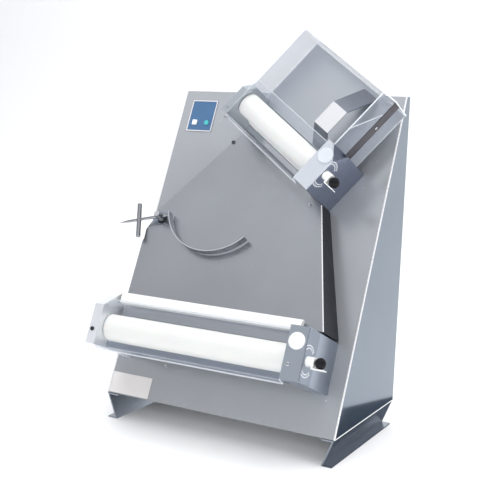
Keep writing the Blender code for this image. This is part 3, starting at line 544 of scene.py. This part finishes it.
# ---- fasteners and small details ---------------------------------------------------------
screw("panel_screw", at(PANEL, -0.1418, 0.6214, 0), 0.0038)
screw("lower_left_screw", at(PANEL, -0.2298, 0.1068, LOWER.depth), 0.0042, BLACK_MATT)
screw("lower_right_screw", at(PANEL, 0.1967, 0.1059, LOWER.depth), 0.0040)
screw("upper_left_screw", at(UPPER, -0.3895, 0.4480, TOP.depth), 0.0026)
screw("hopper_side_screw", at(UPPER, TOP.right, 0.6080, 0.0905, ALONG_X), 0.0030)
for name, x, s, finish in (("slide_screw_left", -0.0893, 0.5521, IRON),
                           ("slide_screw_right", 0.1229, 0.4238, BRIGHT_STEEL)):
    screw(name, on_slide(x, s), 0.0042, finish)
facing_back = Matrix.Rotation(-pi / 2, 4, "X")
for i, (x, z) in enumerate(((-0.235, 0.06), (-0.235, 0.56), (0.235, 0.06), (0.235, 0.56))):
    screw(f"rear_screw_{i + 1}", at(MACHINE, x, BODY_D, z, facing_back), 0.0035)

# folded lip under the level front roller, and the clear cover between divider and hopper end
lip_path = [(0.0800, 0.0860), (0.0800, 0.0975), (0.0932, 0.0975)]
add("lower_front_lip", sheet_strip(lip_path, 0.0010, LOWER.inner_width, 0.0015),
    PANEL @ Matrix.Translation((LOWER.middle, 0, 0)) @ SECTION, [HEAD_STEEL, HEAD_STEEL], "body")
cover_left, cover_right, cover_foot = divider_x + GAP, TOP.right - 0.0018, TOP.top + 0.0008
left_end, right_end, rim_w = 0.5750, 0.6350, 0.0020
cover = slab([(cover_left, cover_foot), (cover_right, cover_foot), (cover_right, right_end),
              (cover_left, left_end)], 0.0990, 0.1010)
add("hopper_corner_cover", cover, UPPER, [CLEAR], "body")
rim = slab([(cover_left, left_end), (cover_left, left_end - rim_w), (cover_right, right_end - rim_w),
            (cover_right, right_end)], 0.0988, 0.1012)
add("hopper_corner_rim", rim, UPPER, [CLEAR_EDGE], "body")

# satin plate on the level unit's end face, round the knob, in the darker copy of the satin finish:
# painted shade
PLATE_PROUD, PLATE_MARGIN = 0.0008, 0.0006
end_plate = slab(rounded_rectangle((LOWER.bottom + PLATE_MARGIN, 0.0900),
                                   (LOWER.top - PLATE_MARGIN, LOWER.depth - PLATE_MARGIN), 0.0015),
                 -0.0002, PLATE_PROUD)
soften(add("lower_end_plate", end_plate, PANEL @ Matrix.Translation((LOWER.right, 0, 0)) @ SECTION,
           [SHADED_END_FACE_METAL], "body"), 0.0003)

# engraved arcs and marks above and below each knob, kept clear of the face's front edge
ARCS, ARC_W, ARC_BACK = (0.0232, 0.0285), 0.0013, radians(48)
MARK_IN, MARK_OUT, MARK_HALF = 0.0242, 0.0275, 0.0004
LINE_LOW, LINE_HIGH = -0.0001, 0.00015
for unit, raised in ((LOWER, PLATE_PROUD), (TOP, 0)):
    dial = unit.base @ Matrix.Translation((unit.right + raised, *unit.knob)) @ SECTION
    room = unit.depth - unit.knob[1] - 0.0020
    for i, (middle, way) in enumerate(((0, 1), (pi, -1))):
        for j, radius in enumerate(ARCS):
            ends = sorted((middle - way * ARC_BACK, middle + way * asin(room / radius)))
            add(f"{unit.name}_dial_arc_{i + 1}_{j + 1}",
                arc_band(radius, *ends, ARC_W, LINE_LOW, LINE_HIGH), dial, [ENGRAVED], "body")
        for k in range(5):
            angle = middle + way * radians(-42 + 14 * k)
            mark = slab([(MARK_IN, -MARK_HALF), (MARK_OUT, -MARK_HALF), (MARK_OUT, MARK_HALF),
                         (MARK_IN, MARK_HALF)], LINE_LOW, LINE_HIGH)
            add(f"{unit.name}_dial_mark_{i + 1}_{k + 1}", mark, dial @ Matrix.Rotation(angle, 4, "Z"),
                [ENGRAVED], "body")

# bright folds and rolled edges of the sheets: beads carrying a painted highlight
half_w, fold, proud, hem = BODY_W / 2, 0.0017, 0.0008, 0.0011
for name, way in (("left", -1), ("right", 1)):
    x = way * (half_w - fold + proud)
    bead("panel_fold_" + name, MACHINE, (x, fold - proud, 0.0006),
         (x, TOP_SETBACK + fold - proud, BODY_H - 0.0006), fold)
    x = way * (half_w - 0.0004)
    bead("side_hem_" + name, MACHINE, (x, 0.002, hem), (x, BODY_D - 0.002, hem), hem)
slide_right = [(x + 0.0004, s, SLIDE_OUT - (s - SLIDE_LOW) * tan(SLIDE_TILT) - 0.0005)
               for x, s in ((0.2222, 0.1805), (0.1474, 0.4270))]
bead("slide_fold", PANEL, *slide_right, hem)

# the arm: a painted highlight in bright steel along the top edge of its strip, and the washer under its
# hub
add("arm_strip_edge", arc_band(0.1095, radians(197), radians(320), 0.0020, 0.0200, 0.0209, 40),
    on_slide(-0.0668, 0.4070), [BRIGHT_STEEL], "arm")
washer = lathe([(0, 0), (0.0105, 0), (0.0105, 0.0014), (0, 0.0014)], 28)
add("arm_hub_washer", washer, on_slide(-0.1930, 0.3640, 0.0029), [BLACK_MATT], "body")

# pale border of the control label
label_low, label_high = (-0.2315, 0.584), (-0.1690, 0.656)
border = 0.0022
outer = rounded_rectangle(label_low, label_high, 0.0015)
inner = rounded_rectangle((label_low[0] + border, label_low[1] + border),
                          (label_high[0] - border, label_high[1] - border), 0.0008)
add("control_label_border", ring(outer, inner, 0.0012, 0.0015), PANEL, [WHITE_FILM], "body")

# ---- stage, lights and camera ------------------------------------------------------------
floor_shape = bmesh.new()
half, front, back, wall_z, bend = 6.0, -5.0, 2.6, 5.0, 1.2
profile = [(front, 0.0), (back - bend, 0.0)]
profile += [(back - bend + bend * sin(radians(a)), bend - bend * cos(radians(a)))
            for a in range(10, 91, 10)]
profile.append((back, wall_z))
rows = [[floor_shape.verts.new((x, y, z)) for x in (-half, half)] for y, z in profile]
for low_row, high_row in zip(rows, rows[1:]):
    floor_shape.faces.new((low_row[0], low_row[1], high_row[1], high_row[0]))
floor_mesh = bpy.data.meshes.new("studio_floor")
floor_shape.to_mesh(floor_mesh)
floor_shape.free()
floor_mesh.shade_smooth()
paper = Shader("studio_paper", (0.93, 0.93, 0.93), 0.9)
paper.bsdf.inputs["Specular IOR Level"].default_value = 0.1
floor_mesh.materials.append(paper.material)
floor = bpy.data.objects.new("studio_floor", floor_mesh)
bpy.context.scene.collection.objects.link(floor)

# tones of the surroundings from straight down to straight up
SKY = ((0.0, (0.34, 0.35, 0.37)), (0.46, (0.50, 0.51, 0.53)), (0.56, (0.50, 0.51, 0.53)),
       (0.66, (0.33, 0.335, 0.35)), (0.76, (0.42, 0.43, 0.45)), (0.84, (0.72, 0.73, 0.76)),
       (1.0, (0.95, 0.96, 1.0)))
world = bpy.data.worlds.new("studio")
bpy.context.scene.world = world
world.use_nodes = True
sky = world.node_tree
coordinates = sky.nodes.new("ShaderNodeTexCoord")
split = sky.nodes.new("ShaderNodeSeparateXYZ")
lift = sky.nodes.new("ShaderNodeMapRange")
lift.inputs["From Min"].default_value = -1
ramp = sky.nodes.new("ShaderNodeValToRGB")
sky.links.new(coordinates.outputs["Generated"], split.inputs["Vector"])
sky.links.new(split.outputs["Z"], lift.inputs["Value"])
sky.links.new(lift.outputs["Result"], ramp.inputs["Fac"])
sky.links.new(ramp.outputs["Color"], sky.nodes["Background"].inputs["Color"])
stops = ramp.color_ramp.elements
for _ in SKY[2:]:
    stops.new(0.5)
for stop, (place, tone) in zip(stops, SKY):
    stop.position = place
    stop.color = (*tone, 1)
sky.nodes["Background"].inputs["Strength"].default_value = 1.12
bpy.context.scene.view_settings.view_transform = "Standard"


def area_light(name, location, target, size, energy):
    """A softbox that isn't seen in reflections."""
    data = bpy.data.lights.new(name, "AREA")
    data.shape = "RECTANGLE"
    data.size, data.size_y = size
    data.energy = energy
    lamp = bpy.data.objects.new(name, data)
    lamp.location = location
    lamp.rotation_euler = (Vector(target) - Vector(location)).to_track_quat("-Z", "Y").to_euler()
    lamp.visible_glossy = False
    bpy.context.scene.collection.objects.link(lamp)


area_light("key", (0.9, -3.2, 1.5), (0, 0, 0.30), (1.9, 1.5), 44)
area_light("top", (0.2, -0.8, 3.4), (0, 0, 0.3), (3.2, 2.6), 54)
area_light("right_edge", (3.0, -0.75, 1.3), (0.25, 0, 0.3), (1.0, 1.6), 16)
area_light("backdrop_wash", (0.0, 0.9, 4.2), (0, 2.4, 0.9), (6.0, 1.2), 48)


def shadow_reflection_card(name, corners, tone):
    """A dark card that only shows in the polished steel: a painted shadow seen only in reflections."""
    shape = bmesh.new()
    shape.faces.new([shape.verts.new(corner) for corner in corners])
    mesh = bpy.data.meshes.new(name)
    shape.to_mesh(mesh)
    shape.free()
    finish = Shader(name, tone, 1.0)
    finish.bsdf.inputs["Specular IOR Level"].default_value = 0.0
    mesh.materials.append(finish.material)
    card = bpy.data.objects.new(name, mesh)
    bpy.context.scene.collection.objects.link(card)
    card.visible_camera = card.visible_diffuse = card.visible_shadow = card.visible_transmission = False


# painted shadow: the machine's shadow on the floor at its right and back, shown only in the side
# panel's reflections
floor_shadow_outline = ((0.235, -0.16), (0.285, -0.16), (0.385, 0.230), (0.322, 0.380), (0.235, 0.420))
shadow_reflection_card("dark_floor_card", [(x, y, 0.0008) for x, y in floor_shadow_outline], (0.13, 0.15, 0.185))

# camera, as solved from the photograph
yaw, pitch, roll = 0.5045, 0.1503, 0.0345
forward = Vector((-sin(yaw) * cos(pitch), cos(yaw) * cos(pitch), -sin(pitch)))
side = Vector((cos(yaw), sin(yaw), 0))
above = side.cross(forward)
right = side * cos(roll) + above * sin(roll)
up = above * cos(roll) - side * sin(roll)
camera_data = bpy.data.cameras.new("camera")
camera_data.sensor_width = 36
camera_data.lens = 68.1
camera = bpy.data.objects.new("camera", camera_data)
position = MACHINE @ Vector((0.9008, -1.5083, 0.5902))
camera.matrix_world = Matrix((
    (right.x, up.x, -forward.x, position.x),
    (right.y, up.y, -forward.y, position.y),
    (right.z, up.z, -forward.z, position.z),
    (0, 0, 0, 1)))
bpy.context.scene.collection.objects.link(camera)
bpy.context.scene.camera = camera
